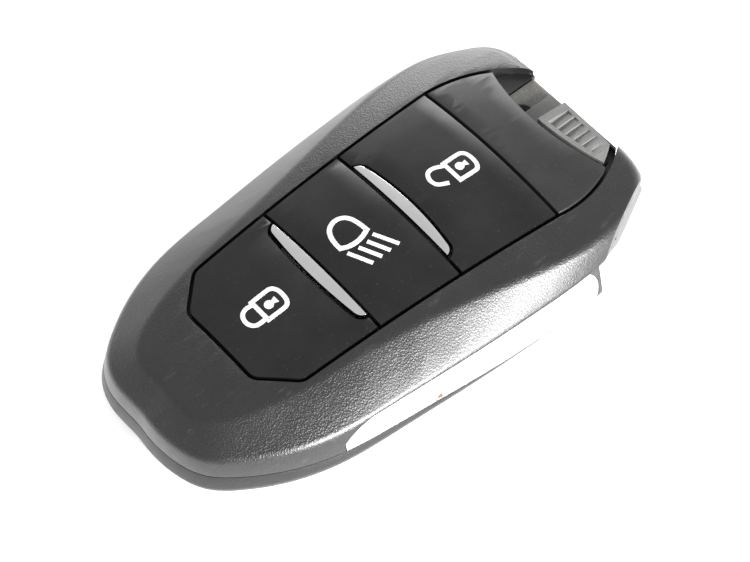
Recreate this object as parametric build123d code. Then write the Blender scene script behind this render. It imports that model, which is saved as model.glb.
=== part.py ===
from build123d import *
import math
import os

os.makedirs("parts", exist_ok=True)

# Smart key fob. X across, Y towards the key ring end, Z up through the buttons.
# Origin: centre of the footprint, on the flat back. Millimetres.

# Overall size
fob_length = 80.5
fob_width = 46.2
fob_thickness = 16.5

# Domed top: long arch along Y, crown across X
arch_radius = 234.0
crown_radius = 75.0
arch_centre_y = 3.15

# Outer form: heights of its levels and how far each is drawn in
belly_height = 5.2
ridge_height = 10.2
shoulder_height = 16.6
back_inset_side = 6.0
back_inset_chin = 7.0
back_inset_ring = 4.5
ridge_inset_side = 1.15
ridge_inset_chin = 1.0
ridge_inset_ring = 1.2
crease_round = 2.6
ridge_round = 1.6

# Walls and fits
roof_wall = 1.4

# Inner space: half widths and places of its outline, and how far its levels are drawn in
pocket_chin_y = -35.4
pocket_chin_half = 7.6
pocket_corner_y = -27.5
pocket_corner_half = 15.4
pocket_middle_half = 19.2
pocket_ring_half = 19.4
pocket_knee_height = 3.4
pocket_knee_inset = 1.2
pocket_low_inset = 3.6
pocket_top = 14.4
pocket_top_chin = 5.2
pocket_top_corner = 7.4
pocket_top_middle = 5.1
pocket_top_ring = 2.6
back_wall = 1.5
fit_gap = 0.1
part_gap = 0.2
seam_gap = 0.12
overrun = 5.0

# Parting line between the front shell and the rear cover, falling to the ring end
parting_chin_height = 7.5
parting_ring_height = 3.3

# Button panel: half widths at the joint lines, and where these lie
panel_bottom_y = -26.15
panel_bottom_half = 6.8
panel_corner_y = -21.25
panel_corner_half = 11.6
light_low_y = -8.35
light_high_y = 5.55
panel_line_y = 22.55
panel_line_half = 14.0
panel_corner_round = 2.2
groove_width = 0.55

# Ring bay
bay_start_y = 27.5
bay_floor_height = 12.3
end_face_y = 37.7
end_face_left_half = 11.6
concave_radius = 30.0
concave_low_y = 30.95
concave_centre_x = -0.5
right_bend_y = 32.05
right_bend_half = 12.9
right_end_half = 9.6
left_bend_y = 31.3
left_bend_half = 12.0
left_end_half = 7.2

# Button caps
cap_thickness = 1.3
skirt_depth = 0.8
skirt_width = 0.9
press_travel = 0.35
frame_thickness = 0.8
frame_rim = 0.75
window_margin = 1.6
stem_radius = 1.6
stem_rib = 1.0

# Bright strips between the buttons
strip_half_length = 10.1
strip_rise = 2.3
strip_proud = 0.25
strip_end_length = 1.5
strip_end_bulge = 0.3
strip_end_share = 0.72
strip_foot_width = 0.9
strip_foot_share = 0.6

# Bright side and corner trims
trim_thickness = 1.0
leaf_tip_y = -20.9
leaf_tip_lift = 1.3
leaf_full_y = -15.0
leaf_end_y = 21.3
leaf_end_bulge = 1.3
leaf_edge_drop = 0.25
leaf_fullness_share = 0.65
corner_trim_start_y = 23.2
corner_trim_deep_y = 28.3
corner_trim_depth = 2.0
corner_trim_end_half = 12.0
corner_line_half = 22.9
corner_line_y = 22.0
corner_bend_half = 15.7
corner_bend_y = 36.9
corner_close_half = 13.0
corner_close_y = 39.8
corner_slope_height = 3.0
corner_slope_across = 2.4
corner_slope_along = 1.2

# Circuit board and switches
board_underside = 9.8
board_thickness = 0.8
board_ring_y = 24.5
switch_length = 4.5
switch_width = 3.6
switch_height = 0.6
plunger_radius = 1.05
plunger_proud = 0.4
plunger_depth = 0.2
pad_height = 1.2
pad_radius = 2.4
pad_tip_radius = 1.0
pad_band_share = 0.3
mat_lift = 1.1
mat_thickness = 0.5
mat_half_width = 8.0
mat_margin = 4.0
mat_skirt = 1.0

# Chassis, battery and contacts
plate_underside = 6.5
plate_thickness = 0.8
plate_low_y = -20.8
plate_ring_y = 26.3
battery_radius = 10.0
battery_height = 3.2
battery_centre_y = -8.0
battery_underside = 3.0
battery_rim = 0.5
tray_wall = 1.0
channel_wall = 0.8
contact_thickness = 0.2
contact_width = 3.0
minus_contact_x = 4.0
pusher_radius = 7.0
pusher_width = 1.0
post_radius = 1.3
pin_radius = 0.6
post_half_low = 13.5
post_half_high = 15.5
post_low_y = -15.5
post_high_y = 18.0
tongue_length = 5.0
tongue_thickness = 1.0
tongue_top = 8.9
tongue_root_drop = 0.5
tongue_low_y = -13.0
tongue_high_y = 3.0

# Emergency key
blade_width = 6.4
blade_thickness = 1.8
blade_tip_y = -17.0
blade_centre_x = -3.3
blade_groove_width = 2.2
blade_groove_depth = 0.45
blade_tang = 1.3
head_half_width = 3.7
head_neck_y = 26.8
head_bail_y = 30.0
head_bail_underside = 9.0
head_neck_underside = 6.6
head_end_y = 37.5
head_round = 0.8
ring_hole_radius = 2.0
ring_hole_y = 31.4
notch_start_y = 28.7

# Release slider and its spring
slider_travel = 0.9
slider_slot = 0.7
slider_left_x = -0.2
slider_end_y = 36.9
slider_sink = 0.25
tongue_plate_thickness = 0.6
tongue_plate_reach = 2.8
tongue_plate_inset = 0.1
rib_count = 6
rib_pitch = 1.45
rib_depth = 0.55
rib_margin_x = 1.2
rib_margin_y = 0.75
block_left_x = 0.9
block_drop = 0.6
block_underside = 1.8
end_wall_thickness = 0.6
end_wall_top = 12.6
bridge_width = 2.4
spring_wire = 0.3
spring_radius = 0.85
spring_length = 4.6
spring_turns = 4
spring_height = 8.55
spring_y = 34.5
foot_left_x = 2.6
foot_length = 2.0
foot_width = 2.2
foot_drop = 4.95

# Antenna and chips
antenna_length = 11.0
antenna_width = 4.0
antenna_height = 2.4
antenna_y = -27.5
winding_share = 0.7
winding_thickness = 0.35
chip_size = 6.0
chip_height = 0.9
chip_x = 6.5
chip_y = 12.0
radio_size = 4.0
radio_x = 6.5
radio_y = 20.5
crystal_length = 3.2
crystal_width = 2.5
crystal_height = 0.8
crystal_x = 12.5
crystal_y = 12.5
capacitor_length = 1.6
capacitor_width = 0.8
capacitor_height = 0.8
capacitor_pitch = 2.4
capacitor_count = 5
capacitor_row_x = -12.5
capacitor_row_y = 2.0

half_length = fob_length / 2
half_width = fob_width / 2
frame_gap = press_travel + fit_gap
slider_side_gap = slider_travel + part_gap
slider_underside = bay_floor_height + part_gap
block_top = bay_floor_height - block_drop

# Reach of the tool that trims the form to the dome
crown_reach = half_width + overrun
arch_sweep = math.degrees((half_length + overrun + arch_centre_y) / arch_radius)

# Right half of the widest outline, as shares of half the width and half the length
outline_shares = [
    (0, -1), (0.303, -0.994), (0.485, -0.952), (0.632, -0.860), (0.771, -0.721),
    (0.875, -0.534), (0.922, -0.298), (0.965, 0), (0.993, 0.298), (0.996, 0.547),
    (0.944, 0.733), (0.831, 0.882), (0.667, 0.973), (0.433, 0.9988), (0, 1),
]
# Right half of the outline at the top of the shoulder, in the same shares
shoulder_shares = [
    (0, -0.780), (0.156, -0.778), (0.242, -0.750), (0.299, -0.686), (0.355, -0.586),
    (0.411, -0.457), (0.485, -0.271), (0.597, 0.015), (0.697, 0.303), (0.766, 0.539),
    (0.775, 0.706), (0.719, 0.817), (0.615, 0.882), (0.424, 0.909), (0, 0.911),
]
# Height share of the belly, and the share of the back's inset reached there
belly_shares = [(0, 1), (0.12, 0.70), (0.37, 0.35), (0.69, 0.09), (1, 0)]


def outline_points(shares):
    right = [(half_width * across, half_length * along) for across, along in shares]
    left = [(-x, y) for x, y in reversed(right[1:-1])]
    return right + left


def drawn_in(points, chin, side, ring):
    """Closed outline moved inwards: by chin or ring at its ends and by side along its sides."""
    moved = []
    for index, (x, y) in enumerate(points):
        before = points[index - 1]
        after = points[(index + 1) % len(points)]
        span = math.hypot(after[0] - before[0], after[1] - before[1])
        normal_x = (after[1] - before[1]) / span
        normal_y = (before[0] - after[0]) / span
        end = chin if normal_y < 0 else ring
        inset = normal_x ** 2 * side + normal_y ** 2 * end
        moved.append((x - normal_x * inset, y - normal_y * inset))
    return moved


def section(points, height):
    return Pos(0, 0, height) * make_face(Wire([Spline(points, periodic=True)]))


def belly_level(height_share, inset_share, wall):
    points = drawn_in(
        outline_points(outline_shares),
        back_inset_chin * inset_share + wall,
        back_inset_side * inset_share + wall,
        back_inset_ring * inset_share + wall,
    )
    return section(points, belly_height * height_share)


def upper_level(height, wall):
    """Level between the ridge and the top of the shoulder."""
    rise = (height - ridge_height) / (shoulder_height - ridge_height)
    ridge = drawn_in(outline_points(outline_shares), ridge_inset_chin, ridge_inset_side, ridge_inset_ring)
    shoulder = outline_points(shoulder_shares)
    between = [
        (low[0] + (high[0] - low[0]) * rise, low[1] + (high[1] - low[1]) * rise)
        for low, high in zip(ridge, shoulder)
    ]
    return section(drawn_in(between, wall, wall, wall), height)


def lofted_form(top, wall):
    belly = loft([belly_level(height, inset, wall) for height, inset in belly_shares])
    band = loft([belly_level(1, 0, wall), upper_level(ridge_height, wall)], ruled=True)
    shoulder = loft([upper_level(ridge_height, wall), upper_level(top, wall)], ruled=True)
    return belly + band + shoulder


def under_dome(drop):
    """Everything below the domed top, lowered by drop: an arc swung about the arch's axis."""
    dip = crown_reach ** 2 / crown_radius / 2
    top = fob_thickness - drop
    floor = -overrun
    left, right = -crown_reach, crown_reach
    profile = make_face([
        ThreePointArc((left, top - dip), (0, top), (right, top - dip)),
        Line((right, top - dip), (right, floor)),
        Line((right, floor), (left, floor)),
        Line((left, floor), (left, top - dip)),
    ])
    axis = Axis((0, arch_centre_y, fob_thickness - arch_radius), (1, 0, 0))
    section = Plane.XZ.offset(-arch_centre_y) * profile
    return revolve(section.rotate(axis, arch_sweep), axis, -2 * arch_sweep)


def dome_layer(top_drop, bottom_drop):
    return under_dome(top_drop) - under_dome(bottom_drop)


def block(x_range, y_range, z_range):
    """Box from its limits."""
    sizes = [high - low for low, high in (x_range, y_range, z_range)]
    centre = [(low + high) / 2 for low, high in (x_range, y_range, z_range)]
    return Pos(*centre) * Box(*sizes)


def full_block(y_range, z_range):
    return block((-fob_width, fob_width), y_range, z_range)


def prism(face, z_range):
    low, high = z_range
    return Pos(0, 0, low) * extrude(face, high - low)


tall = (-overrun, fob_thickness + overrun)


def outer_form():
    """Whole fob as one smooth solid, its creases softened."""
    form = lofted_form(shoulder_height, 0) & under_dome(0)
    form = fillet(form.edges().filter_by(is_crease), crease_round)
    return fillet(form.edges().filter_by(is_ridge), ridge_round)


def is_crease(edge):
    box = edge.bounding_box()
    return box.size.Y > fob_width and box.min.Z > ridge_height + ridge_round / 2


def is_ridge(edge):
    box = edge.bounding_box()
    flat = box.size.Z < fit_gap
    return flat and box.size.Y > fob_width and abs(box.max.Z - ridge_height) < fit_gap


def pocket_level(height, chin_in, corner_in, middle_in, ring_in):
    """Outline of the inner space at one height, drawn in at its chin, corners, middle and ring end."""
    chin = (pocket_chin_half - chin_in / 2, pocket_chin_y + chin_in)
    corner = (pocket_corner_half - corner_in, pocket_corner_y + corner_in / 2)
    middle = (pocket_middle_half - middle_in, 0)
    ring = (pocket_ring_half - ring_in, bay_start_y)

    def mirrored(point):
        return (-point[0], point[1])

    return Pos(0, 0, height) * make_face([
        Line(mirrored(chin), chin),
        Line(chin, corner),
        ThreePointArc(corner, middle, ring),
        Line(ring, mirrored(ring)),
        ThreePointArc(mirrored(ring), mirrored(middle), mirrored(corner)),
        Line(mirrored(corner), mirrored(chin)),
    ])


def pocket(gap):
    """Space inside the walls up to the ring bay, less a gap all round."""
    low, knee = pocket_low_inset + gap, pocket_knee_inset + gap
    levels = [
        pocket_level(back_wall + gap, low, low, low, low),
        pocket_level(pocket_knee_height, knee, knee, knee, knee),
        pocket_level(belly_height, gap, gap, gap, gap),
        pocket_level(ridge_height, gap, gap, gap, gap),
        pocket_level(pocket_top, pocket_top_chin + gap, pocket_top_corner + gap,
                     pocket_top_middle + gap, pocket_top_ring + gap),
    ]
    space = loft(levels[:2], ruled=True)
    for lower, upper in zip(levels[1:], levels[2:]):
        space += loft([lower, upper], ruled=True)
    return space & under_dome(roof_wall + gap)


def under_parting(shift):
    """Everything below the parting line moved up by shift."""
    slope = (parting_ring_height - parting_chin_height) / fob_length
    low_y, high_y = -fob_length, fob_length
    middle = (parting_chin_height + parting_ring_height) / 2 + shift
    floor = -overrun
    profile = make_face(Polyline(
        (low_y, floor), (high_y, floor),
        (high_y, middle + slope * high_y), (low_y, middle + slope * low_y), close=True,
    ))
    return extrude(Plane.YZ * profile, fob_width, both=True)


def parting_height(y):
    slope = (parting_ring_height - parting_chin_height) / fob_length
    return (parting_chin_height + parting_ring_height) / 2 + slope * y


def panel_face():
    """Opening of the button panel and the ring bay, seen from above, in lines and arcs."""
    beyond = end_face_y + overrun
    right_low = (panel_corner_half, panel_corner_y)
    left_low = (-panel_corner_half, panel_corner_y)
    right_line = (panel_line_half, panel_line_y)
    left_line = (-panel_line_half, panel_line_y)
    right_end = (right_end_half, end_face_y)
    left_end = (-left_end_half, end_face_y)
    face = make_face([
        Line(right_low, right_line),
        ThreePointArc(right_line, (right_bend_half, right_bend_y), right_end),
        Polyline(right_end, (right_end_half, beyond), (-left_end_half, beyond), left_end),
        ThreePointArc(left_end, (-left_bend_half, left_bend_y), left_line),
        Line(left_line, left_low),
        Polyline(left_low, (-panel_bottom_half, panel_bottom_y),
                 (panel_bottom_half, panel_bottom_y), right_low),
    ])
    low = face.vertices().filter_by(lambda corner: corner.Y < light_low_y)
    return fillet(low, panel_corner_round).face()


def band_face(y_range):
    """Slice of the panel face between two lines across it."""
    low, high = y_range
    slice_face = Pos(0, (low + high) / 2) * Rectangle(fob_width, high - low)
    return (panel_face() & slice_face).face()


def bow_face(line_y, direction, widen):
    """Bow shape of a bright strip: flat on its line, a shallow bow and blunt round ends."""
    half = strip_half_length + widen
    flat_y = line_y - direction * widen
    peak_y = line_y + direction * (strip_rise + widen)
    end_x = half - strip_end_length
    end_y = line_y + direction * (strip_rise * strip_end_share + widen)
    round_x = (half + end_x) / 2 + strip_end_bulge
    round_y = (flat_y + end_y) / 2 + direction * strip_end_bulge
    return make_face([
        Line((-half, flat_y), (half, flat_y)),
        ThreePointArc((half, flat_y), (round_x, round_y), (end_x, end_y)),
        ThreePointArc((end_x, end_y), (0, peak_y), (-end_x, end_y)),
        ThreePointArc((-end_x, end_y), (-round_x, round_y), (-half, flat_y)),
    ])


def cap(face, with_skirt):
    """Button cap under the dome with a rim below it."""
    body = prism(face, tall) & dome_layer(0, cap_thickness)
    if not with_skirt:
        return body
    outer = offset(face, -(window_margin - groove_width / 2 + part_gap))
    inner = offset(outer, -skirt_width)
    layer = dome_layer(cap_thickness / 2, cap_thickness + skirt_depth)
    return body + ((prism(outer, tall) - prism(inner, tall)) & layer)


switch_top = board_underside + board_thickness + switch_height
plunger_top = switch_top + plunger_proud
pad_top = plunger_top + pad_height
board_top = board_underside + board_thickness


def dome_height(x, y):
    return fob_thickness - (y - arch_centre_y) ** 2 / arch_radius / 2 - x ** 2 / crown_radius / 2


def stem(centre_y):
    """Cross-shaped peg under a cap that presses its pad."""
    cross = Rectangle(stem_radius * 2, stem_rib) + Rectangle(stem_rib, stem_radius * 2)
    return Pos(0, centre_y) * prism(cross, (pad_top, dome_height(0, centre_y) - cap_thickness / 2))


button_bands = {
    "lock": (panel_bottom_y, light_low_y),
    "light": (light_low_y, light_high_y),
    "unlock": (light_high_y, panel_line_y),
}
button_centres = {name: (low + high) / 2 for name, (low, high) in button_bands.items()}


def button_face(name):
    face = offset(band_face(button_bands[name]), -groove_width / 2)
    if name == "lock":
        face -= bow_face(light_low_y, -1, groove_width / 2)
    if name == "unlock":
        face -= bow_face(light_high_y, 1, groove_width / 2)
    return face


def button(name):
    return cap(button_face(name), True) + stem(button_centres[name])


def strip(line_y, direction):
    """Bright bow strip with a foot down to the bar between the buttons."""
    face = offset(bow_face(line_y, direction, 0), -groove_width / 2)
    bow = prism(face, tall) & dome_layer(-strip_proud, cap_thickness)
    foot_y = line_y + direction * strip_rise / 2
    half = strip_half_length * strip_foot_share
    foot = block((-half, half), (foot_y - strip_foot_width / 2, foot_y + strip_foot_width / 2), tall)
    return bow + (foot & dome_layer(cap_thickness, cap_thickness + frame_gap))


def button_frame():
    """Plate under the buttons with a window for each, bars between and a rim under the roof."""
    opening = offset(band_face((-fob_length, panel_line_y + groove_width / 2)), groove_width / 2)
    margin = prism(offset(panel_face(), frame_rim), tall)
    top = cap_thickness + frame_gap
    plate = margin & dome_layer(roof_wall + fit_gap, top + frame_thickness)
    plate &= full_block((-fob_length, bay_start_y), tall)
    plate -= prism(opening, tall) & dome_layer(0, top)
    for band in button_bands.values():
        plate -= prism(offset(band_face(band), -window_margin), tall)
    return plate


def concave_disc(shrink):
    centre_y = concave_low_y + concave_radius
    return Pos(concave_centre_x, centre_y) * Circle(concave_radius - shrink)


def top_panel():
    """Cover between the unlock button and the ring bay, its outer edge hollowed in an arc."""
    face = offset(band_face((panel_line_y, end_face_y)), -groove_width / 2)
    face -= concave_disc(0)
    return cap(face, False)


def bay_face(clearance):
    """Ring bay below its floor: from the key head's left flank to the right lobe."""
    left = blade_centre_x - head_half_width - part_gap
    face = offset(panel_face(), groove_width / 2 - clearance)
    low, high = bay_start_y - fit_gap, end_face_y + overrun
    centre = Pos((left + fob_width) / 2, (low + high) / 2)
    return face & (centre * Rectangle(fob_width - left, high - low))


def ring_notch():
    """Way for the key ring below the head, open to the back and to the end."""
    left = blade_centre_x - head_half_width - part_gap
    right = block_left_x - part_gap
    return block((left, right), (notch_start_y, fob_length), (-overrun, head_bail_underside))


def end_cut():
    """Takes the middle of the ring end back between the two corners."""
    across = (-end_face_left_half, right_end_half + groove_width / 2)
    return block(across, (end_face_y, fob_length), tall)


def leaf_prism(clearance):
    """Leaf seen from the side: a round tip, an edge along the ridge and a rounded end."""
    low_gap = seam_gap / 2 + clearance
    top = ridge_height - leaf_edge_drop + clearance
    tip = (leaf_tip_y - clearance, parting_height(leaf_tip_y) + leaf_tip_lift)
    full = (leaf_full_y, top)
    top_end = (leaf_end_y, top)
    low_end = (leaf_end_y, parting_height(leaf_end_y) - low_gap)
    round_y = full[0] - (full[0] - tip[0]) * leaf_fullness_share
    round_z = tip[1] + (full[1] - tip[1]) * leaf_fullness_share
    bulge = (leaf_end_y + leaf_end_bulge + clearance, (top_end[1] + low_end[1]) / 2)
    low_tip = (leaf_tip_y - clearance, parting_height(leaf_tip_y) - low_gap)
    profile = make_face([
        Line(low_tip, tip),
        ThreePointArc(tip, (round_y, round_z), full),
        Line(full, top_end),
        ThreePointArc(top_end, bulge, low_end),
        Line(low_end, low_tip),
    ])
    return extrude(Plane.YZ * profile, fob_width, both=True)


def corner_prism(clearance):
    """Band round a corner of the ring end, seen from the side and the end."""
    start = corner_trim_start_y - clearance
    low_y, high_y = start, fob_length
    top = ridge_height - leaf_edge_drop + clearance
    profile = make_face(Polyline(
        (low_y, parting_height(low_y) - clearance), (high_y, parting_height(high_y) - clearance),
        (high_y, top), (low_y, top), close=True,
    ))
    return extrude(Plane.YZ * profile, fob_width, both=True)


def corner_step():
    """What the bright corners leave off the form: a wall above them and a slope below it."""
    line = [
        (corner_line_half, corner_line_y), (corner_bend_half, corner_bend_y),
        (corner_close_half, corner_close_y), (corner_close_half, fob_length),
        (fob_width, fob_length), (fob_width, corner_line_y),
    ]
    foot = [(x + corner_slope_across, y + corner_slope_along) for x, y in line]
    height = ridge_height - leaf_edge_drop
    upper = make_face(Polyline(*line, close=True))
    lower = Pos(0, 0, height - corner_slope_height) * make_face(Polyline(*foot, close=True))
    step = loft([lower, Pos(0, 0, height) * upper], ruled=True)
    step += prism(upper, (height, fob_thickness + overrun))
    return step + mirror(step, about=Plane.YZ)


def side_half(direction):
    reach = fob_width * direction
    low, high = sorted((0, reach))
    return block((low, high), (-fob_length, fob_length), tall)


whole = outer_form() - corner_step()
core = pocket(0)
above_seam = full_block((-fob_length, fob_length), tall) - under_parting(seam_gap / 2)
ring_cut = end_cut()
bay = prism(bay_face(0), (back_wall, fob_thickness + overrun))


low_whole = whole & full_block((-fob_length, fob_length), (0, ridge_height + fit_gap))


def beyond(y):
    return full_block((y, fob_length), tall)


def skin(depth):
    """Outer layer of the form below the ridge."""
    return low_whole - lofted_form(ridge_height + roof_wall, depth)


trim_skin = skin(trim_thickness) & above_seam
recess_skin = skin(trim_thickness + fit_gap)
corner_skin = trim_skin + (skin(corner_trim_depth) & above_seam & beyond(corner_trim_deep_y))
corner_recess = recess_skin + (skin(corner_trim_depth + fit_gap) & beyond(corner_trim_deep_y - fit_gap))


def front_shell():
    """Upper half: walls and roof, open at the button panel and the ring bay."""
    opening = offset(panel_face(), groove_width / 2)
    room = core + prism(opening, (bay_floor_height, fob_thickness + overrun)) + bay + ring_cut
    shell = (whole & above_seam) - room
    return shell - (recess_skin & leaf_prism(fit_gap)) - (corner_recess & corner_prism(fit_gap))


def side_trim(direction):
    return trim_skin & (leaf_prism(0) & side_half(direction))


def corner_trim(direction):
    return corner_skin & (corner_prism(0) & side_half(direction) - ring_cut - end_strip())


def end_strip():
    """Middle of the ring end, which the corner trims leave free."""
    half = corner_trim_end_half
    return block((-half, half), (bay_start_y, fob_length), tall)


def tongues():
    """Snap tongues that stand inside the front shell's walls."""
    shapes = []
    inner = pocket(tongue_thickness)
    root = core - inner
    blade = pocket(fit_gap) - inner
    for y in (tongue_low_y, tongue_high_y):
        span = (y - tongue_length / 2, y + tongue_length / 2)
        split = parting_height(y) - tongue_root_drop
        shapes.append(root & full_block(span, (0, split)))
        shapes.append(blade & full_block(span, (split, tongue_top)))
    joined = shapes[0]
    for shape in shapes[1:]:
        joined += shape
    return joined


def rear_cover():
    room = core + bay + ring_cut + ring_notch()
    cover = (whole & under_parting(-seam_gap / 2)) - room
    pusher_top = battery_underside - fit_gap
    ring = Circle(pusher_radius) - Circle(pusher_radius - pusher_width)
    cover += Pos(0, battery_centre_y) * prism(ring, (back_wall / 2, pusher_top))
    return cover + tongues()


def post_places():
    places = []
    for half, y in ((post_half_low, post_low_y), (post_half_high, post_high_y)):
        places += [(-half, y), (half, y)]
    return places


def chassis():
    """Inner frame: plate, battery tray below, blade channel and board posts above, end block."""
    plate_top = plate_underside + plate_thickness
    room = pocket(part_gap)
    body = room & full_block((plate_low_y, plate_ring_y), (plate_underside, plate_top))
    tray_inner = battery_radius + part_gap
    tray = Circle(tray_inner + tray_wall) - Circle(tray_inner)
    body += Pos(0, battery_centre_y) * prism(tray, (battery_underside + battery_rim, plate_underside))
    slot = blade_width / 2 + fit_gap
    for side in (-1, 1):
        inner = blade_centre_x + side * slot
        x_range = sorted((inner, inner + side * channel_wall))
        body += block(x_range, (blade_tip_y - part_gap, plate_ring_y),
                      (plate_underside, board_underside - part_gap))
    for x, y in post_places():
        body += Pos(x, y) * prism(Circle(post_radius), (plate_underside, board_underside))
        body += Pos(x, y) * prism(Circle(pin_radius), (plate_underside, board_top))
    narrow = pocket(tongue_thickness + part_gap)
    for y in (tongue_low_y, tongue_high_y):
        reach = tongue_length / 2 + part_gap
        ring = room - narrow
        body -= ring & full_block((y - reach, y + reach), tall)
    return body + end_block()


def end_block():
    """Block under the release slider with its spring pocket, and the wall behind it."""
    face = bay_face(part_gap)
    right_of = block((block_left_x, fob_width), (bay_start_y, end_face_y - part_gap), tall)
    body = prism(face, (block_underside, block_top)) & right_of
    wall = prism(face, (block_top - part_gap, end_wall_top)) & right_of
    wall &= full_block((end_face_y - end_wall_thickness, end_face_y), tall)
    pocket_low = spring_height - spring_radius - spring_wire
    pocket_right = foot_left_x + foot_length + spring_length
    half = foot_width / 2 + part_gap
    pocket = block((foot_left_x - part_gap, pocket_right), (spring_y - half, spring_y + half),
                   (pocket_low - part_gap, block_top + overrun))
    bridge = block((block_left_x, block_left_x + bridge_width),
                   (plate_ring_y - fit_gap, bay_start_y + fit_gap),
                   (plate_underside, plate_underside + plate_thickness))
    return (body + bridge - pocket) + wall


def battery():
    edge = Pos(0, battery_centre_y) * prism(
        Circle(battery_radius), (battery_underside, battery_underside + battery_height))
    rims = edge.edges().filter_by(GeomType.CIRCLE)
    return fillet(rims, battery_rim / 2)


def plus_contact():
    """Strip beside the battery's rim, bent over under the board."""
    x_range = (-contact_width / 2, contact_width / 2)
    y = battery_centre_y - battery_radius
    leg = block(x_range, (y - contact_thickness, y), (battery_underside + battery_rim, board_underside))
    hook = block(x_range, (y - tray_wall, y),
                 (board_underside - contact_thickness, board_underside))
    return leg + hook


def plus_slot():
    half = contact_width / 2 + part_gap
    y = battery_centre_y - battery_radius
    return block((-half, half), (y - tray_wall - part_gap, y + part_gap),
                 (0, plate_underside + plate_thickness + part_gap))


def minus_contact():
    """Leaf on the battery's face, its tail bent up through the plate to the board."""
    low = battery_underside + battery_height
    x_range = (minus_contact_x - contact_width / 2, minus_contact_x + contact_width / 2)
    end = battery_centre_y + battery_radius + tray_wall / 2
    leaf = block(x_range, (battery_centre_y - contact_width, end), (low, low + contact_thickness))
    tail = block(x_range, (end - contact_thickness, end), (low, board_underside))
    return leaf + tail


def minus_slot():
    half = contact_width / 2 + part_gap
    end = battery_centre_y + battery_radius + tray_wall / 2
    return block((minus_contact_x - half, minus_contact_x + half),
                 (end - contact_width, end + part_gap),
                 (battery_underside + battery_height - part_gap, board_underside))


def circuit_board():
    """Board cut to the inside of the shell, with holes for the chassis pins."""
    board = pocket(part_gap)
    board &= full_block((-fob_length, board_ring_y), (board_underside, board_top))
    for x, y in post_places():
        board -= Pos(x, y) * prism(Circle(pin_radius + fit_gap), tall)
    return board


def switch_body(centre_y):
    outline = RectangleRounded(switch_length, switch_width, switch_width / 6)
    hole = Circle(plunger_radius + fit_gap)
    return Pos(0, centre_y) * prism(outline - hole, (board_top, switch_top))


def switch_plunger(centre_y):
    low = switch_top - plunger_depth
    return Pos(0, centre_y) * prism(Circle(plunger_radius), (low, plunger_top))


def pad(centre_y):
    """Domed rubber pad turned from a profile: narrow tip, broad band, narrower top."""
    band_low = plunger_top + pad_height * pad_band_share
    band_high = pad_top - pad_height * pad_band_share
    profile = Plane.XZ * make_face(Polyline(
        (0, plunger_top), (pad_tip_radius, plunger_top), (pad_radius, band_low),
        (pad_radius, band_high), (stem_radius, pad_top), (0, pad_top), close=True,
    ))
    return Pos(0, centre_y) * revolve(profile, Axis.Z)


def keypad_mat():
    """Rubber sheet over the board with a round hole for each pad and a skirt down to the board."""
    low_y = button_centres["lock"] - mat_margin
    high_y = button_centres["unlock"] + mat_margin
    low_z = board_top + mat_lift
    middle = Pos(0, (low_y + high_y) / 2)
    outline = RectangleRounded(mat_half_width * 2, high_y - low_y, pad_tip_radius * 2)
    mat = middle * prism(outline, (board_top, low_z + mat_thickness))
    mat -= middle * prism(offset(outline, -mat_skirt), (board_top, low_z))
    for y in button_centres.values():
        mat -= Pos(0, y) * prism(Circle(pad_radius + part_gap), tall)
    return mat


def key_blade():
    """Flat blade with a pointed tip and a groove milled in both faces."""
    left, right = blade_centre_x - blade_width / 2, blade_centre_x + blade_width / 2
    root = head_neck_y + blade_tang
    shoulder = blade_tip_y + blade_width / 2
    outline = make_face(Polyline(
        (blade_centre_x - blade_groove_width / 2, blade_tip_y),
        (blade_centre_x + blade_groove_width / 2, blade_tip_y),
        (right, shoulder), (right, root), (left, root), (left, shoulder), close=True,
    ))
    low = plate_underside + plate_thickness + fit_gap
    high = low + blade_thickness
    blade = prism(outline, (low, high))
    half = blade_groove_width / 2
    for z_range in ((low, low + blade_groove_depth), (high - blade_groove_depth, high)):
        groove = block((blade_centre_x - half, blade_centre_x + half),
                       (shoulder, head_neck_y - blade_width), z_range)
        blade -= groove
    return blade


def key_head():
    """Moulded head: a neck round the blade's root and a bail with the key ring hole."""
    left, right = blade_centre_x - head_half_width, blade_centre_x + head_half_width
    neck = block((left, right), (head_neck_y, head_bail_y), (head_neck_underside, bay_floor_height))
    bail = block((left, right), (notch_start_y + part_gap, head_end_y),
                 (head_bail_underside, bay_floor_height))
    neck -= block((left, right), (notch_start_y - part_gap, fob_length),
                  (-overrun, head_bail_underside))
    head = neck + bail
    head = fillet(head.edges().filter_by(Axis.X).group_by(Axis.Y)[-1], head_round)
    hole = Pos(blade_centre_x, ring_hole_y) * prism(Circle(ring_hole_radius), tall)
    return head - hole - key_blade()


def thumb_face():
    """Outline of the ribbed thumb piece: bay outline less the travel, hollowed like the panel."""
    face = panel_face() & (Pos(-slider_side_gap, 0) * panel_face())
    left = slider_left_x + fob_width / 2
    middle_y = (bay_start_y + slider_end_y) / 2
    face &= Pos(left, middle_y) * Rectangle(fob_width, slider_end_y - bay_start_y)
    return face & concave_disc(slider_slot)


def release_slider():
    """Thumb piece with saw-tooth ribs, a thin tongue over the key head and a foot for the spring."""
    face = thumb_face()
    body = prism(face, (slider_underside, fob_thickness)) & under_dome(slider_sink)
    for index in range(rib_count):
        body -= rib_cut(rib_margin_x + index * rib_pitch)
    plate_low = bay_floor_height + fit_gap
    plate = block((slider_left_x - tongue_plate_reach, slider_left_x + fit_gap),
                  (concave_low_y + slider_slot + part_gap, slider_end_y - tongue_plate_inset),
                  (plate_low, plate_low + tongue_plate_thickness))
    foot = block((foot_left_x, foot_left_x + foot_length),
                 (spring_y - foot_width / 2, spring_y + foot_width / 2),
                 (slider_underside - foot_drop, slider_underside + part_gap))
    return body + plate + foot


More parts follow.
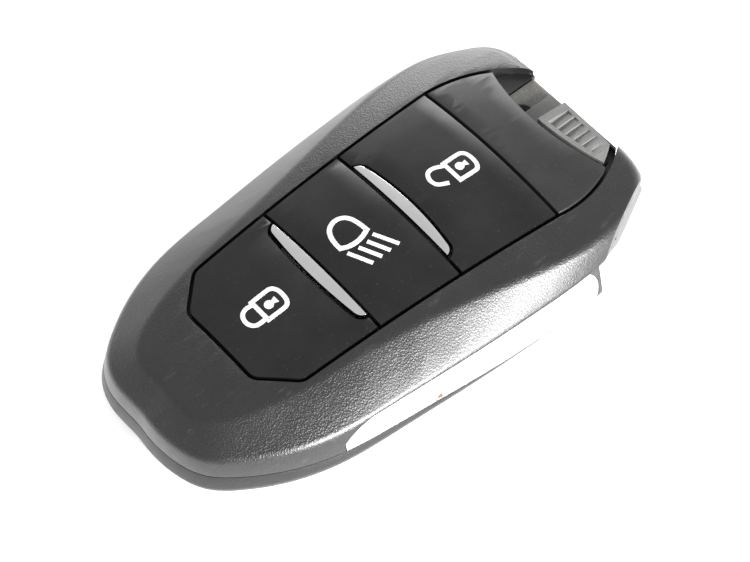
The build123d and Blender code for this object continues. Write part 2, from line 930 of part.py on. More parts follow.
def rib_cut(x):
    """Saw-tooth groove along Y: a steep wall on its left and a long slope on its right."""
    crest = bay_floor_height + fob_thickness - arch_top_at_ribs()
    top = arch_top_at_ribs()
    profile = make_face(Polyline(
        (x, top + crest), (x, top - rib_depth),
        (x + rib_pitch, top), (x + rib_pitch, top + crest), close=True,
    ))
    length = slider_end_y - rib_margin_y - concave_low_y
    cut = extrude(Plane.XZ.offset(-(slider_end_y - rib_margin_y)) * profile, length)
    return cut & prism(offset(thumb_face(), -rib_margin_y), tall)


def arch_top_at_ribs():
    """Height of the slider's top at the middle of its ribs."""
    y = (concave_low_y + slider_end_y) / 2
    drop = (y - arch_centre_y) ** 2 / arch_radius / 2
    x = rib_margin_x + rib_count * rib_pitch / 2
    return fob_thickness - slider_sink - drop - x ** 2 / crown_radius / 2


def release_spring():
    """Coil spring along X between the slider's foot and the end of its pocket."""
    pitch = (spring_length - fit_gap * 2 - spring_wire) / spring_turns
    path = Helix(pitch, pitch * spring_turns, spring_radius)
    start = Plane(path @ 0, z_dir=path % 0)
    coil = sweep(start * Circle(spring_wire / 2), path)
    x = foot_left_x + foot_length + fit_gap + spring_wire / 2
    return Pos(x, spring_y, spring_height) * (Rot(0, 90, 0) * coil)


def antenna_core():
    low = board_underside - antenna_height - winding_thickness
    half = antenna_length / 2
    middle = (low + board_underside) / 2
    bar = Pos(0, antenna_y, middle) * Box(antenna_length, antenna_width, antenna_height)
    ends = bar & (side_end(half, -1) + side_end(half, 1))
    feet = Pos(0, 0, winding_thickness / 2) * ends
    return bar + feet


def side_end(half, direction):
    edge = half * (1 + winding_share) / 2
    low, high = sorted((edge * direction, half * direction))
    return block((low, high), (-fob_length, fob_length), tall)


def antenna_winding():
    low = board_underside - antenna_height - winding_thickness
    length = antenna_length * winding_share
    middle = (low + board_underside) / 2
    grow = winding_thickness
    sleeve = Box(length, antenna_width + grow, antenna_height + grow)
    return Pos(0, antenna_y, middle) * (sleeve - Box(length, antenna_width, antenna_height))


def under_board(x, y, length, width, height):
    return Pos(x, y, board_underside - height / 2) * Box(length, width, height)


def control_chip():
    chip = under_board(chip_x, chip_y, chip_size, chip_size, chip_height)
    return chamfer(chip.edges().group_by(Axis.Z)[0], chip_height / 6)


def radio_chip():
    chip = under_board(radio_x, radio_y, radio_size, radio_size, chip_height)
    return chamfer(chip.edges().group_by(Axis.Z)[0], chip_height / 6)


def crystal():
    can = under_board(crystal_x, crystal_y, crystal_length, crystal_width, crystal_height)
    return fillet(can.edges().filter_by(Axis.Z), crystal_height / 4)


def chip_capacitors():
    """Row of small parts under the board."""
    parts = [
        under_board(capacitor_row_x, capacitor_row_y + index * capacitor_pitch,
                    capacitor_length, capacitor_width, capacitor_height)
        for index in range(capacitor_count)
    ]
    return Compound(children=parts)


def export(shape, name):
    export_step(shape, "parts/" + name + ".step")


export(front_shell(), "front_shell")
export(rear_cover(), "rear_cover")
export(top_panel(), "top_panel")
export(button_frame(), "button_frame")
export(strip(light_high_y, 1), "upper_trim_strip")
export(strip(light_low_y, -1), "lower_trim_strip")
for side, direction in (("left", -1), ("right", 1)):
    export(side_trim(direction), "side_trim_" + side)
    export(corner_trim(direction), "corner_trim_" + side)
for name, centre_y in button_centres.items():
    export(button(name), name + "_button")
    export(pad(centre_y), name + "_pad")
    export(switch_body(centre_y), name + "_switch")
    export(switch_plunger(centre_y), name + "_plunger")
export(keypad_mat(), "keypad_mat")
export(circuit_board(), "circuit_board")
export(chassis() - plus_slot() - minus_slot(), "chassis")
export(battery(), "battery")
export(plus_contact(), "battery_plus_contact")
export(minus_contact(), "battery_minus_contact")
export(key_blade(), "key_blade")
export(key_head(), "key_head")
export(release_slider(), "release_slider")
export(release_spring(), "release_spring")
export(antenna_core(), "antenna_core")
export(antenna_winding(), "antenna_winding")
export(control_chip(), "control_chip")
export(radio_chip(), "radio_chip")
export(crystal(), "crystal")
export(chip_capacitors(), "chip_capacitors")
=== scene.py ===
import bpy
import bmesh
import math
import numpy as np
from mathutils import Matrix, Vector


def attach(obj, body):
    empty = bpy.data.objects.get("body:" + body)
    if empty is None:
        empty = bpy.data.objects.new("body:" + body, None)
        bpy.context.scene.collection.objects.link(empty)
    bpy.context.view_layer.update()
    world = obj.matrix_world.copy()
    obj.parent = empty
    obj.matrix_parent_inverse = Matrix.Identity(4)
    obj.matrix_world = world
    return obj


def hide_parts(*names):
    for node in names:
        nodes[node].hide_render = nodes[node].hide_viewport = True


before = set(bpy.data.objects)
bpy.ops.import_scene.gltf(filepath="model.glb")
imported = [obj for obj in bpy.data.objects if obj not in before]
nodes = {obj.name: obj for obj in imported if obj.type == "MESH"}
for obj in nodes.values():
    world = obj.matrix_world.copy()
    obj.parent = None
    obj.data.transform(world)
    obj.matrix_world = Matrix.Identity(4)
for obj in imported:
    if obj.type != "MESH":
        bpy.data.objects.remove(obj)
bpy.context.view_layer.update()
mm = 0.001
print("frame loaded:", len(nodes), "CAD nodes")

# camera: place and direction of the photograph, worked out in the fob's own frame
cameraValues = {
    "target": (0.0, 5.55, 16.5),      # mm, on the unlock side of the middle button
    "back": (0.4393, -0.3819, 0.8131),  # from the target towards the lens
    "right": (0.6561, 0.7547, 0.0),
    "distance": 400.0,                # mm
    "pixelsPerMm": 7.3,
    "targetPixel": (398.5, 209.8),
    "imageSize": (750, 562),
    "sensorWidth": 36.0,              # mm
    "nearest": 0.01, "farthest": 20.0,  # metres
}


def makeCamera(v):
    back, right = Vector(v["back"]).normalized(), Vector(v["right"]).normalized()
    up = back.cross(right)
    focal = v["pixelsPerMm"] * v["distance"]
    offX = v["targetPixel"][0] - v["imageSize"][0] / 2
    offY = v["imageSize"][1] / 2 - v["targetPixel"][1]
    # the view axis runs through the middle of the image, not through the target
    forward = (-back * focal - right * offX - up * offY).normalized()
    sideways = forward.cross(up).normalized()
    upward = sideways.cross(forward)
    data = bpy.data.cameras.new("photoCamera")
    data.sensor_width = v["sensorWidth"]
    data.lens = focal * v["sensorWidth"] / v["imageSize"][0]
    data.clip_start, data.clip_end = v["nearest"], v["farthest"]
    camera = bpy.data.objects.new("photoCamera", data)
    turn = Matrix((sideways, upward, -forward)).transposed().to_4x4()
    spot = (Vector(v["target"]) + back * v["distance"]) * mm
    camera.matrix_world = Matrix.Translation(spot) @ turn
    bpy.context.scene.collection.objects.link(camera)
    bpy.context.scene.camera = camera


makeCamera(cameraValues)

# light and floor
lightValues = {
    "horizon": 1.0, "overhead": 0.75,   # brightness of the white room, low down and above
    "fadeFrom": 0.25, "fadeTo": 0.85,   # height of the direction where the one fades into the other
    "lamps": {                          # place in metres, size in metres, power in watts
        "sideLight": ((0.53, 0.20, 0.20), 0.17, 2.6),
        "flankLight": ((0.55, 0.00, 0.17), 0.17, 6.4),
        "windowLight": ((-0.50, 0.50, 0.20), 0.34, 2.0),
    },
    "floorColour": 0.86, "floorGlow": 0.55, "floorHalf": 4.0,
}


def areaLight(name, place, size, power):
    data = bpy.data.lights.new(name, "AREA")
    data.size, data.energy = size, power
    lamp = bpy.data.objects.new(name, data)
    lamp.location = place
    lamp.rotation_euler = (-Vector(place)).to_track_quat("-Z", "Y").to_euler()
    bpy.context.scene.collection.objects.link(lamp)


# highest of several ray kinds: 1 where the ray is any of them
def anyRay(tree, kinds):
    ray = tree.nodes.new("ShaderNodeLightPath")
    result = ray.outputs[kinds[0]]
    for kind in kinds[1:]:
        highest = tree.nodes.new("ShaderNodeMath")
        highest.operation = "MAXIMUM"
        tree.links.new(result, highest.inputs[0])
        tree.links.new(ray.outputs[kind], highest.inputs[1])
        result = highest.outputs[0]
    return result


def makeRoom(v):
    world = bpy.data.worlds.new("whiteRoom")
    bpy.context.scene.world = world
    world.use_nodes = True
    tree = world.node_tree
    tree.nodes.clear()
    out = tree.nodes.new("ShaderNodeOutputWorld")
    direction = tree.nodes.new("ShaderNodeTexCoord").outputs["Generated"]
    split = tree.nodes.new("ShaderNodeSeparateXYZ")
    tree.links.new(direction, split.inputs[0])
    fade = tree.nodes.new("ShaderNodeMapRange")
    fade.inputs["From Min"].default_value = v["fadeFrom"]
    fade.inputs["From Max"].default_value = v["fadeTo"]
    fade.inputs["To Min"].default_value = v["horizon"]
    fade.inputs["To Max"].default_value = v["overhead"]
    tree.links.new(split.outputs["Z"], fade.inputs["Value"])
    room = tree.nodes.new("ShaderNodeBackground")
    tree.links.new(fade.outputs["Result"], room.inputs["Strength"])
    white = tree.nodes.new("ShaderNodeBackground")
    white.inputs["Strength"].default_value = 1.0
    mix = tree.nodes.new("ShaderNodeMixShader")
    tree.links.new(anyRay(tree, ["Is Camera Ray", "Is Transmission Ray"]), mix.inputs[0])
    tree.links.new(room.outputs[0], mix.inputs[1])
    tree.links.new(white.outputs[0], mix.inputs[2])
    tree.links.new(mix.outputs[0], out.inputs[0])
    for name, (place, size, power) in v["lamps"].items():
        areaLight(name, place, size, power)


def makeFloor(v):
    mesh = bpy.data.meshes.new("floor")
    half = v["floorHalf"]
    corners = [(-half, -half, 0), (half, -half, 0), (half, half, 0), (-half, half, 0)]
    mesh.from_pydata(corners, [], [(0, 1, 2, 3)])
    floor = bpy.data.objects.new("floor", mesh)
    bpy.context.scene.collection.objects.link(floor)
    look = bpy.data.materials.new("whiteFloor")
    look.use_nodes = True
    tree = look.node_tree
    tree.nodes.clear()
    out = tree.nodes.new("ShaderNodeOutputMaterial")
    matt = tree.nodes.new("ShaderNodeBsdfDiffuse")
    matt.inputs["Color"].default_value = (v["floorColour"],) * 3 + (1,)
    glow = tree.nodes.new("ShaderNodeEmission")
    level = tree.nodes.new("ShaderNodeMath")
    level.operation = "MULTIPLY"
    level.inputs[1].default_value = v["floorGlow"]
    rays = ["Is Camera Ray", "Is Glossy Ray", "Is Transmission Ray"]
    tree.links.new(anyRay(tree, rays), level.inputs[0])
    tree.links.new(level.outputs[0], glow.inputs["Strength"])
    both = tree.nodes.new("ShaderNodeAddShader")
    tree.links.new(matt.outputs[0], both.inputs[0])
    tree.links.new(glow.outputs[0], both.inputs[1])
    tree.links.new(both.outputs[0], out.inputs[0])
    mesh.materials.append(look)


makeRoom(lightValues)
makeFloor(lightValues)
bpy.context.scene.view_settings.view_transform = "Standard"
print("camera, light and floor made")


# materials: each is a small node recipe on Object coordinates
class Recipe:
    def __init__(self, name):
        self.material = bpy.data.materials.new(name)
        self.material.use_nodes = True
        self.tree = self.material.node_tree
        self.shader = self.tree.nodes["Principled BSDF"]
        self.place = self.add("ShaderNodeTexCoord").outputs["Object"]

    def add(self, kind):
        return self.tree.nodes.new(kind)

    def link(self, a, b):
        self.tree.links.new(a, b)

    def fixed(self, **values):
        names = {"metal": "Metallic", "coat": "Coat Weight", "coatRough": "Coat Roughness"}
        for key, value in values.items():
            self.shader.inputs[names[key]].default_value = value

    def stretched(self, scale, turn=(0, 0, 0)):
        m = self.add("ShaderNodeMapping")
        m.inputs["Scale"].default_value = scale
        m.inputs["Rotation"].default_value = turn
        self.link(self.place, m.inputs["Vector"])
        return m.outputs["Vector"]

    def noise(self, scale, detail=2.0, rough=0.5, where=None):
        n = self.add("ShaderNodeTexNoise")
        n.inputs["Scale"].default_value = scale
        n.inputs["Detail"].default_value = detail
        n.inputs["Roughness"].default_value = rough
        self.link(where or self.place, n.inputs["Vector"])
        return n.outputs["Fac"]

    def cells(self, scale):
        n = self.add("ShaderNodeTexVoronoi")
        n.inputs["Scale"].default_value = scale
        self.link(self.place, n.inputs["Vector"])
        return n.outputs["Distance"]

    def ranged(self, value, low, high, toLow, toHigh):
        n = self.add("ShaderNodeMapRange")
        for key, x in (("From Min", low), ("From Max", high), ("To Min", toLow), ("To Max", toHigh)):
            n.inputs[key].default_value = x
        self.link(value, n.inputs["Value"])
        return n.outputs["Result"]

    def maths(self, kind, a, b):
        n = self.add("ShaderNodeMath")
        n.operation = kind
        for socket, x in zip(n.inputs, (a, b)):
            if isinstance(x, (int, float)):
                socket.default_value = x
            else:
                self.link(x, socket)
        return n.outputs[0]

    def blendColour(self, share, low, high):
        n = self.add("ShaderNodeMix")
        n.data_type = "RGBA"
        for socket, x in ((n.inputs[6], low), (n.inputs[7], high)):
            if isinstance(x, tuple):
                socket.default_value = x + (1,)
            else:
                self.link(x, socket)
        self.link(share, n.inputs[0])
        return n.outputs[2]

    def near(self, centre, reach):  # a share that is 1 at the point and 0 beyond reach, both in mm
        n = self.add("ShaderNodeVectorMath")
        n.operation = "DISTANCE"
        n.inputs[1].default_value = Vector(centre) * mm
        self.link(self.place, n.inputs[0])
        return self.ranged(n.outputs["Value"], 0.0, reach * mm, 1.0, 0.0)

    def bumped(self, height, distance):
        n = self.add("ShaderNodeBump")
        n.inputs["Distance"].default_value = distance
        n.inputs["Strength"].default_value = 1.0
        self.link(height, n.inputs["Height"])
        self.link(n.outputs["Normal"], self.shader.inputs["Normal"])


# moulded plastic: pebble grain as bump, small tone changes and paler scuffs
def grainedPlastic(name, dark, light, roughLow, roughHigh, grain, depth, wear=None, coat=0.0):
    r = Recipe(name)
    pebbles = r.cells(grain)
    speckle = r.noise(grain * 1.7, 3.0, 0.6)
    blotch = r.noise(140.0, 3.0, 0.55)
    patches = r.ranged(blotch, 0.3, 0.7, 0.35, 1.0)
    tone = r.maths("MULTIPLY", r.ranged(speckle, 0.42, 0.66, 0.0, 1.0), patches)
    colour = r.blendColour(tone, dark, light)
    rough = r.ranged(blotch, 0.3, 0.7, roughLow, roughHigh)
    if wear:
        scuffs = r.noise(900.0, 4.0, 0.7, r.stretched((1.0, 0.22, 1.0), (0, 0, wear["angle"])))
        mask = r.ranged(scuffs, 0.60, 0.72, 0.0, wear["strength"])
        colour = r.blendColour(mask, colour, wear["colour"])
    r.link(colour, r.shader.inputs["Base Color"])
    r.link(rough, r.shader.inputs["Roughness"])
    height = r.maths("ADD", pebbles, r.maths("MULTIPLY", speckle, 0.6))
    r.bumped(height, depth)
    r.fixed(coat=coat, coatRough=0.30)
    return r.material


# smooth moulded plastic: faint texture, dust specks and cloudy gloss
def satinPlastic(name, dark, light, rough, depth=4e-6):
    r = Recipe(name)
    cloud = r.noise(90.0, 4.0, 0.6)
    fine = r.noise(5200.0, 2.0, 0.5)
    specks = r.ranged(r.noise(2600.0, 1.0, 0.4), 0.70, 0.76, 0.0, 0.5)
    colour = r.blendColour(r.ranged(cloud, 0.3, 0.7, 0.0, 1.0), dark, light)
    colour = r.blendColour(specks, colour, tuple(min(1.0, c * 2.2 + 0.02) for c in light))
    r.link(colour, r.shader.inputs["Base Color"])
    r.link(r.ranged(cloud, 0.3, 0.7, rough - 0.05, rough + 0.06), r.shader.inputs["Roughness"])
    r.bumped(fine, depth)
    return r.material


# bright plating: mirror metal with faint smears, pits and, on some pieces, a worn spot
def brightMetal(name, tint, rough, stain=None):
    r = Recipe(name)
    smear = r.noise(160.0, 4.0, 0.6, r.stretched((1.0, 0.35, 1.0)))
    pits = r.ranged(r.noise(3200.0, 2.0, 0.5), 0.68, 0.74, 0.0, 0.35)
    colour = r.blendColour(r.ranged(smear, 0.35, 0.7, 0.0, 0.35), tint, tuple(c * 0.86 for c in tint))
    colour = r.blendColour(pits, colour, (0.35, 0.34, 0.33))
    if stain:
        edge = r.maths("ADD", r.near(stain["centre"], stain["reach"]),
                       r.ranged(r.noise(700.0, 3.0, 0.6), 0.3, 0.7, -0.35, 0.35))
        colour = r.blendColour(r.ranged(edge, 0.42, 0.50, 0.0, 1.0), colour, stain["colour"])
    r.link(colour, r.shader.inputs["Base Color"])
    r.link(r.ranged(smear, 0.3, 0.7, rough, rough + 0.07), r.shader.inputs["Roughness"])
    r.fixed(metal=1.0)
    return r.material


# milled or drawn metal: fine lines along one axis
def brushedMetal(name, tint, rough, along):
    r = Recipe(name)
    lines = r.noise(2400.0, 3.0, 0.6, r.stretched(along))
    colour = r.blendColour(lines, tuple(c * 0.75 for c in tint), tint)
    r.link(colour, r.shader.inputs["Base Color"])
    r.link(r.ranged(lines, 0.3, 0.7, rough, rough + 0.15), r.shader.inputs["Roughness"])
    r.fixed(metal=1.0)
    r.bumped(lines, 6e-6)
    return r.material


finishValues = {
    "grained": {  # dark, light, least and most roughness, grains per metre, depth, scuffs, clear coat
        "blackShell": ((0.003, 0.003, 0.0035), (0.013, 0.013, 0.014), 0.30, 0.40, 3600.0, 5.0e-5,
                       {"angle": 0.75, "strength": 0.25, "colour": (0.10, 0.10, 0.10)}, 0.8),
        "blackCover": ((0.006, 0.006, 0.0065), (0.020, 0.020, 0.021), 0.38, 0.50, 3600.0, 4.5e-5, None, 0.4),
        "sliderPlastic": ((0.155, 0.158, 0.154), (0.205, 0.208, 0.200), 0.36, 0.50, 2600.0, 1.2e-5,
                          {"angle": 0.0, "strength": 0.4, "colour": (0.22, 0.21, 0.18)}),
        "headPlastic": ((0.135, 0.133, 0.122), (0.220, 0.216, 0.196), 0.42, 0.56, 2600.0, 1.2e-5,
                        {"angle": 0.4, "strength": 0.7, "colour": (0.075, 0.060, 0.045)}),
    },
    "satin": {  # dark, light, roughness
        "satinButton": ((0.004, 0.004, 0.0045), (0.009, 0.009, 0.0095), 0.30),
        "satinPanel": ((0.017, 0.017, 0.0175), (0.026, 0.026, 0.0265), 0.32),
        "innerPlastic": ((0.016, 0.016, 0.017), (0.034, 0.034, 0.035), 0.50),
        "greySilicone": ((0.22, 0.23, 0.24), (0.30, 0.31, 0.33), 0.62),
        "chipEpoxy": ((0.012, 0.012, 0.012), (0.025, 0.025, 0.025), 0.48),
        "tanCeramic": ((0.42, 0.33, 0.22), (0.52, 0.42, 0.30), 0.42),
    },
    "bright": {  # tint, roughness, worn spot in mm
        "brightPlating": ((0.88, 0.88, 0.89), 0.06),
        "brightLeaf": ((0.88, 0.88, 0.89), 0.07,
                       {"centre": (23.0, -5.2, 6.5), "reach": 2.6, "colour": (0.30, 0.22, 0.10)}),
    },
    "brushed": {  # tint, roughness, how dense the lines are along each axis
        "bladeSteel": ((0.66, 0.66, 0.67), 0.22, (6.0, 0.15, 1.0)),
        "cellSteel": ((0.70, 0.70, 0.69), 0.24, (1.0, 1.0, 8.0)),
        "springContact": ((0.74, 0.72, 0.66), 0.20, (0.3, 4.0, 1.0)),
        "enamelledWire": ((0.60, 0.27, 0.12), 0.28, (9.0, 0.2, 0.2)),
    },
}
makers = {"grained": grainedPlastic, "satin": satinPlastic, "bright": brightMetal, "brushed": brushedMetal}
looks = {}
for kind, finishes in finishValues.items():
    for name, values in finishes.items():
        looks[name] = makers[kind](name, *values)


# solder mask over copper tracks: lighter where a track runs under it
def boardGreen():
    r = Recipe("boardGreen")
    squares = r.add("ShaderNodeTexBrick")
    squares.inputs["Scale"].default_value = 260.0
    squares.inputs["Mortar Size"].default_value = 0.06
    r.link(r.place, squares.inputs["Vector"])
    base = r.blendColour(r.noise(60.0, 3.0, 0.5), (0.010, 0.075, 0.030), (0.018, 0.11, 0.045))
    colour = r.blendColour(r.maths("MULTIPLY", squares.outputs["Fac"], 0.8), base, (0.05, 0.22, 0.09))
    r.link(colour, r.shader.inputs["Base Color"])
    r.link(r.ranged(squares.outputs["Fac"], 0.0, 1.0, 0.32, 0.22), r.shader.inputs["Roughness"])
    r.bumped(squares.outputs["Fac"], 1.5e-5)
    return r.material


# white mark on a button, a little uneven
def iconWhite():
    r = Recipe("iconWhite")
    worn = r.noise(1500.0, 3.0, 0.6)
    r.link(r.blendColour(r.ranged(worn, 0.3, 0.7, 0.0, 1.0), (0.90, 0.90, 0.89), (0.74, 0.74, 0.73)),
           r.shader.inputs["Base Color"])
    r.link(r.ranged(worn, 0.3, 0.7, 0.45, 0.6), r.shader.inputs["Roughness"])
    return r.material


looks["boardGreen"] = boardGreen()
looks["iconWhite"] = iconWhite()

nodeLooks = {
    "front_shell": "blackShell", "rear_cover": "blackCover", "top_panel": "satinPanel",
    "button_frame": "innerPlastic",
    "upper_trim_strip": "brightPlating", "lower_trim_strip": "brightPlating",
    "side_trim_left": "brightLeaf", "side_trim_right": "brightLeaf",
    "corner_trim_left": "brightPlating", "corner_trim_right": "brightPlating",
    "keypad_mat": "greySilicone", "circuit_board": "boardGreen", "chassis": "innerPlastic",
    "battery": "cellSteel",
    "battery_plus_contact": "springContact", "battery_minus_contact": "springContact",
    "key_blade": "bladeSteel", "key_head": "headPlastic", "release_slider": "sliderPlastic",
    "release_spring": "springContact",
    "antenna_core": "chipEpoxy", "antenna_winding": "enamelledWire", "control_chip": "chipEpoxy",
    "radio_chip": "chipEpoxy",
    "crystal": "springContact", "chip_capacitors": "tanCeramic",
}
for button in ("lock", "light", "unlock"):
    nodeLooks[button + "_button"] = "satinButton"
    nodeLooks[button + "_pad"] = "greySilicone"
    nodeLooks[button + "_switch"] = "springContact"
    nodeLooks[button + "_plunger"] = "chipEpoxy"
for name, look in nodeLooks.items():
    piece = nodes[name]
    piece.data.materials.clear()
    piece.data.materials.append(looks[look])
print("materials made")


# pieces that stand for CAD nodes with their edges rounded
roundingValues = {  # node: (body, radius mm, least edge angle)
    "front_shell": ("fob", 0.22, 32), "rear_cover": ("cover", 0.18, 32), "top_panel": ("fob", 0.20, 35),
    "lock_button": ("lock", 0.20, 35), "light_button": ("light", 0.20, 35),
    "unlock_button": ("unlock", 0.20, 35),
    "upper_trim_strip": ("fob", 0.16, 35), "lower_trim_strip": ("fob", 0.16, 35),
    "side_trim_left": ("fob", 0.10, 35), "side_trim_right": ("fob", 0.10, 35),
    "corner_trim_left": ("fob", 0.15, 35), "corner_trim_right": ("fob", 0.15, 35),
    "key_head": ("key", 0.25, 35), "release_slider": ("slider", 0.12, 35), "chassis": ("fob", 0.10, 35),
}
mergeValues = {"weld": 2e-6, "flatAngle": 0.6, "segments": 3}  # metres, degrees, steps round an edge


def roundedCopy(node, body, radius, angle):
    source = nodes[node]
    mesh = source.data.copy()
    bm = bmesh.new()
    bm.from_mesh(mesh)
    bmesh.ops.remove_doubles(bm, verts=bm.verts, dist=mergeValues["weld"])
    flat = math.radians(mergeValues["flatAngle"])
    bmesh.ops.dissolve_limit(bm, angle_limit=flat, verts=bm.verts, edges=bm.edges)
    bm.to_mesh(mesh)
    bm.free()
    mesh.name = node + "Rounded"
    piece = bpy.data.objects.new(node + "Rounded", mesh)
    bpy.context.scene.collection.objects.link(piece)
    for polygon in mesh.polygons:
        polygon.use_smooth = True
    bevel = piece.modifiers.new("softEdges", "BEVEL")
    bevel.width, bevel.segments = radius * mm, mergeValues["segments"]
    bevel.limit_method, bevel.angle_limit = "ANGLE", math.radians(angle)
    bevel.harden_normals = True
    bevel.use_clamp_overlap = True
    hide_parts(node)
    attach(piece, body)


for node, (body, radius, angle) in roundingValues.items():
    roundedCopy(node, body, radius, angle)
print("rounded pieces made:", len(roundingValues))

# white symbols on the buttons: lines measured along their middles, in the fob's frame, mm
symbolValues = {
    "lift": 0.03, "depth": 0.06, "step": 0.12,
    "padlock": {
        "lineWidth": 0.65, "dotRadius": 0.68, "dotGap": 24, "dotPoints": 22,  # gap in degrees
        "closed": {
            "bodySides": [(-1.97, -18.98), (-2.00, -16.41), (-1.88, -15.75), (-1.53, -15.36), (-0.73, -15.08),
                          (0.54, -15.12), (1.24, -15.36), (1.63, -15.82), (1.70, -16.44), (1.68, -18.98)],
            "shackle": [(-1.62, -19.20), (-1.70, -20.22), (-1.31, -21.02), (-0.52, -21.42), (0.27, -21.42),
                        (0.99, -21.04), (1.31, -20.32), (1.32, -19.20)],
            "dot": (-0.10, -17.44), "tail": [(-0.65, -16.12), (0.45, -16.10)],
        },
        "open": {
            "bodySides": [(-2.03, 15.52), (-2.06, 18.10), (-1.84, 18.80), (-1.25, 19.20), (-0.28, 19.32),
                          (0.77, 19.18), (1.30, 18.89), (1.60, 18.30), (1.57, 15.52)],
            "shackle": [(-1.72, 15.30), (-2.22, 14.20), (-2.34, 13.27), (-1.95, 12.58), (-1.12, 12.20),
                        (-0.27, 12.25), (0.32, 12.68), (1.00, 13.98)],
            "dot": (-0.30, 17.04), "tail": [(-0.72, 18.30), (0.30, 18.27)],
        },
    },
    "lamp": {
        "bowlWidth": 0.71, "rayWidth": 0.61,
        "bowl": [(-0.35, 0.13), (-2.01, -0.04), (-3.17, -0.36), (-3.95, -0.92), (-4.38, -1.88),
                 (-4.20, -2.99), (-3.54, -3.86), (-2.44, -4.40), (-1.32, -4.60), (-0.36, -4.62)],
        "lens": [(-0.36, -4.62), (0.12, -3.54), (0.28, -2.26), (0.08, -0.96), (-0.35, 0.13)],
        "rays": [((0.74, 0.26), (4.28, 1.99)), ((1.16, -1.11), (4.32, 0.38)),
                 ((1.16, -2.62), (4.32, -1.15)), ((0.86, -4.35), (4.32, -2.76))],
    },
}
domeValues = {"top": 16.5, "archRadius": 234.0, "archCentre": 3.15, "crownRadius": 77.63}


# the dome's height: an arc of crownRadius across X, swung on archRadius along Y
def domeHeight(x, y):
    v = domeValues
    drop = v["crownRadius"] - np.sqrt(v["crownRadius"] ** 2 - x ** 2)
    return v["top"] - v["archRadius"] + np.sqrt((v["archRadius"] - drop) ** 2 - (y - v["archCentre"]) ** 2)


def meshFrom(name, verts, faces, look):
    mesh = bpy.data.meshes.new(name)
    mesh.from_pydata(verts.tolist(), [], faces)
    mesh.materials.append(look)
    piece = bpy.data.objects.new(name, mesh)
    bpy.context.scene.collection.objects.link(piece)
    return piece


# a smooth line through points: each stretch is a Catmull-Rom cubic, sampled every step
def smoothLine(points):
    p = np.array(points, float)
    if len(p) == 2:
        return p
    q = np.vstack([2 * p[:1] - p[1:2], p, 2 * p[-1:] - p[-2:-1]])
    rows = []
    for i in range(len(p) - 1):
        count = max(2, int(np.ceil(np.linalg.norm(p[i + 1] - p[i]) / symbolValues["step"])))
        t = (np.arange(count) / count)[:, None]
        a, b, c, d = q[i], q[i + 1], q[i + 2], q[i + 3]
        bend, twist = 2 * a - 5 * b + 4 * c - d, 3 * b - a - 3 * c + d
        rows.append(0.5 * (2 * b + (c - a) * t + bend * t ** 2 + twist * t ** 3))
    return np.vstack(rows + [p[-1:]])


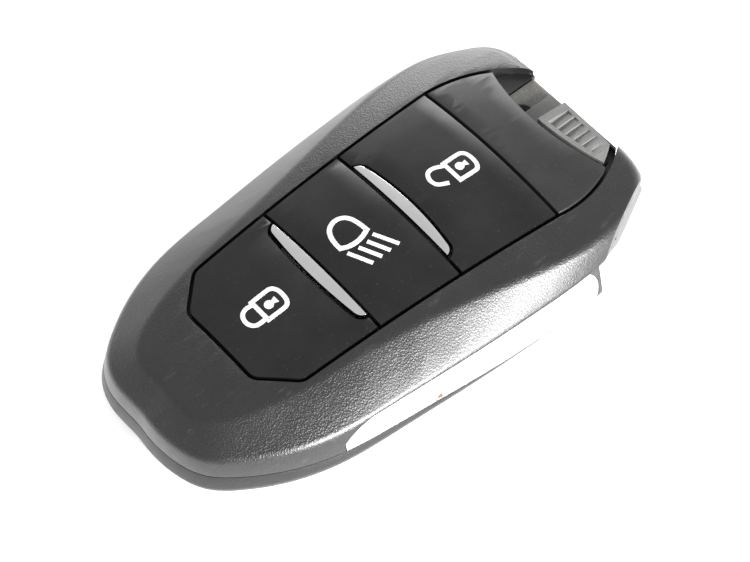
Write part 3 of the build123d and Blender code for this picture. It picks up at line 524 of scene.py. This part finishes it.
# flat outlines become thin plates on the dome: a top at domeHeight + lift,
# an under side depth lower, and a rim
def platesFrom(name, quadStrips, fans, body):
    v, verts, faces, base = symbolValues, [], [], 0
    for left, right, closed in quadStrips:  # two sides of a ribbon, point by point
        n = len(left)
        flat = np.vstack([left, right])
        top = domeHeight(flat[:, 0], flat[:, 1]) + v["lift"]
        verts += [np.column_stack([flat, top]), np.column_stack([flat, top - v["depth"]])]
        i = np.arange(n if closed else n - 1)
        j = (i + 1) % n
        quads = [np.stack([i + n, j + n, j, i], 1), np.stack([i, j, j + 2 * n, i + 2 * n], 1),
                 np.stack([i + 2 * n, j + 2 * n, j + 3 * n, i + 3 * n], 1),
                 np.stack([i + 3 * n, j + 3 * n, j + n, i + n], 1)]
        if not closed:
            e = n - 1
            quads += [np.array([[0, 2 * n, 3 * n, n]]), np.array([[e + n, e + 3 * n, e + 2 * n, e]])]
        faces += (np.vstack(quads) + base).tolist()
        base += 4 * n
    for ring in fans:  # an outline seen whole from its middle, anticlockwise
        n = len(ring)
        flat = np.vstack([ring, ring.mean(axis=0)[None]])
        top = domeHeight(flat[:, 0], flat[:, 1]) + v["lift"]
        verts += [np.column_stack([flat, top]), np.column_stack([flat, top - v["depth"]])]
        i = np.arange(n)
        j = (i + 1) % n
        m = n + 1
        faces += (np.stack([i, j, np.full(n, n)], 1) + base).tolist()
        faces += (np.stack([j + m, i + m, np.full(n, n + m)], 1) + base).tolist()
        faces += (np.stack([i, i + m, j + m, j], 1) + base).tolist()
        base += 2 * m
    piece = meshFrom(name, np.vstack(verts) * mm, faces, looks["iconWhite"])
    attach(piece, body)


# the two sides of a line: each point moved half the width along the mean normal, longer at a sharp corner
def ribbon(line, width, closed):
    if closed:
        before, after = np.roll(line, 1, axis=0), np.roll(line, -1, axis=0)
    else:
        before = np.vstack([2 * line[:1] - line[1:2], line[:-1]])
        after = np.vstack([line[1:], 2 * line[-1:] - line[-2:-1]])
    a, b = line - before, after - line
    a /= np.linalg.norm(a, axis=1)[:, None]
    b /= np.linalg.norm(b, axis=1)[:, None]
    na, nb = np.stack([-a[:, 1], a[:, 0]], 1), np.stack([-b[:, 1], b[:, 0]], 1)
    out = (na + nb) / (1 + np.sum(na * nb, axis=1))[:, None]
    return line + out * width / 2, line - out * width / 2, closed


# keyhole: an arc of the dot, open towards the tail, then the tail's two outer corners
def keyhole(dot, tail, v):
    dot, tail = np.array(dot), np.array(tail)
    aim = math.atan2(*(tail.mean(axis=0) - dot)[::-1])
    a = aim + np.radians(np.linspace(v["dotGap"], 360 - v["dotGap"], v["dotPoints"]))
    ring = dot + v["dotRadius"] * np.stack([np.cos(a), np.sin(a)], 1)
    (ax, ay), (bx, by) = tail - dot
    ends = tail if ax * by > ay * bx else tail[::-1]
    return np.vstack([ring, ends])


def padlock(name, shape, body):
    v = symbolValues["padlock"]
    sides = smoothLine(shape["bodySides"])
    shackle = smoothLine(shape["shackle"])
    strips = [ribbon(sides, v["lineWidth"], True), ribbon(shackle, v["lineWidth"], False)]
    platesFrom(name, strips, [keyhole(shape["dot"], shape["tail"], v)], body)


def lampSymbol(v):
    loop = np.vstack([smoothLine(v["bowl"])[:-1], smoothLine(v["lens"])[:-1]])
    strips = [ribbon(loop, v["bowlWidth"], True)]
    strips += [ribbon(np.array(ray), v["rayWidth"], False) for ray in v["rays"]]
    platesFrom("lampSymbol", strips, [], "light")


padlock("closedPadlock", symbolValues["padlock"]["closed"], "lock")
padlock("openPadlock", symbolValues["padlock"]["open"], "unlock")
lampSymbol(symbolValues["lamp"])
print("symbols made")
